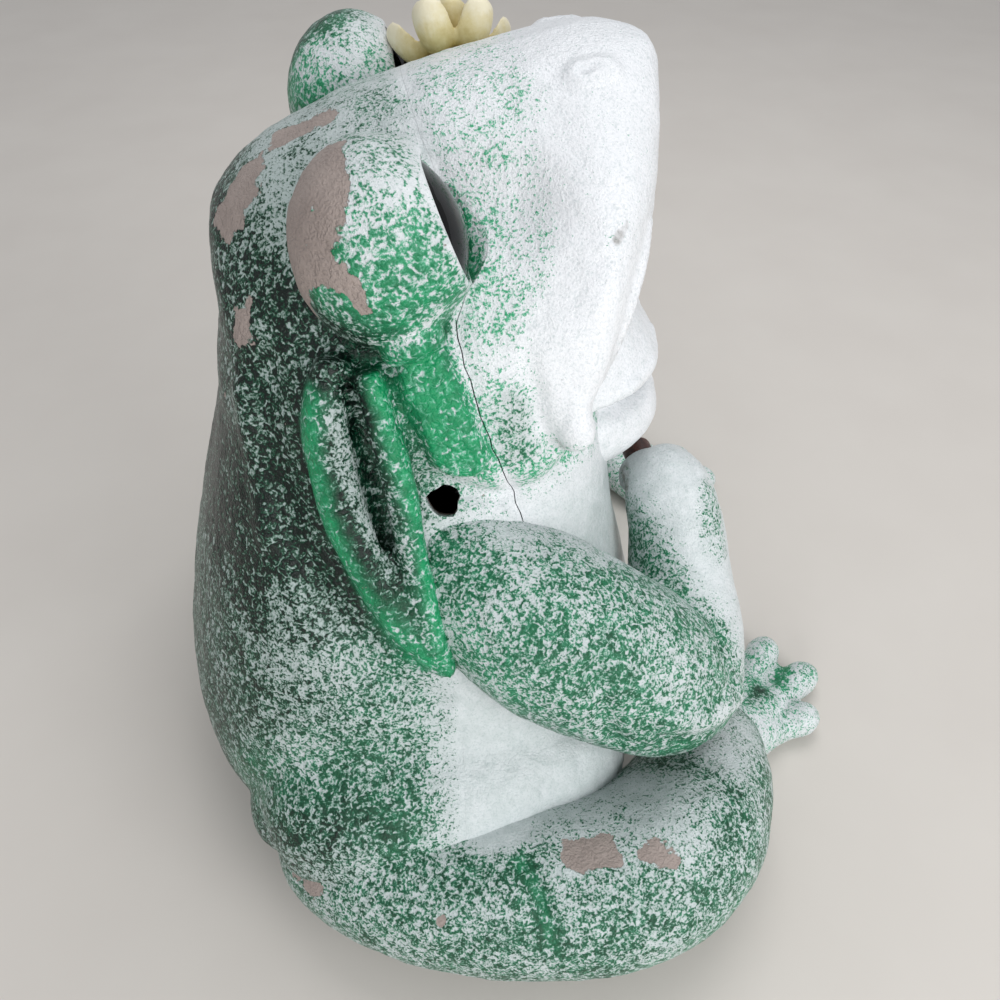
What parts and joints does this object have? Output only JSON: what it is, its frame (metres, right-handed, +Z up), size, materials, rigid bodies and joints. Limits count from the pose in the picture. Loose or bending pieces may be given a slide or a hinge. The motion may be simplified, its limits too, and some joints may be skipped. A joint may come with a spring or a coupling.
{
  "type": "frog garden ornament",
  "caption": "Seated fat frog ornament with head tilted back, glass eyes, a carved flower on its crown and a thin stick held in both fists.",
  "frame": {"origin": "centre of the flat rest face under the base plate, at z = 0", "axes": "+X the way the frog faces, +Y its left side, +Z up"},
  "size_m": [0.2444, 0.3104, 0.2384],
  "materials": {
    "green_casting": "gloss paint, green sponged over white",
    "white_casting": "gloss white paint",
    "cream_casting": "satin cream paint",
    "eye_glass": "polished",
    "pupil_paint": "gloss",
    "rod_paint": "satin blue-grey paint",
    "collar_paint": "satin dark red-brown"
  },
  "bodies": {
    "figure": {"rear_shell": "green_casting", "front_shell": "white_casting", "base_plate": "white_casting", "lower_jaw": "white_casting", "right_arm": "green_casting", "left_arm": "green_casting", "right_leg": "green_casting", "left_leg": "green_casting", "right_foot": "green_casting", "left_foot": "green_casting", "right_eye_glass": "eye_glass", "left_eye_glass": "eye_glass", "right_pupil": "pupil_paint", "left_pupil": "pupil_paint", "flower_cup": "cream_casting", "flower_outer_petals": "cream_casting", "flower_inner_petals": "cream_casting", "flower_heart": "cream_casting"},
    "rod": {"rod": "rod_paint", "rod_collar": "collar_paint"}
  },
  "joints": [
    {"name": "rod_slide", "type": "slide", "parent": "figure", "child": "rod", "axis": [0, 1, 0], "range_m": [0, 0.0365]}
  ]
}
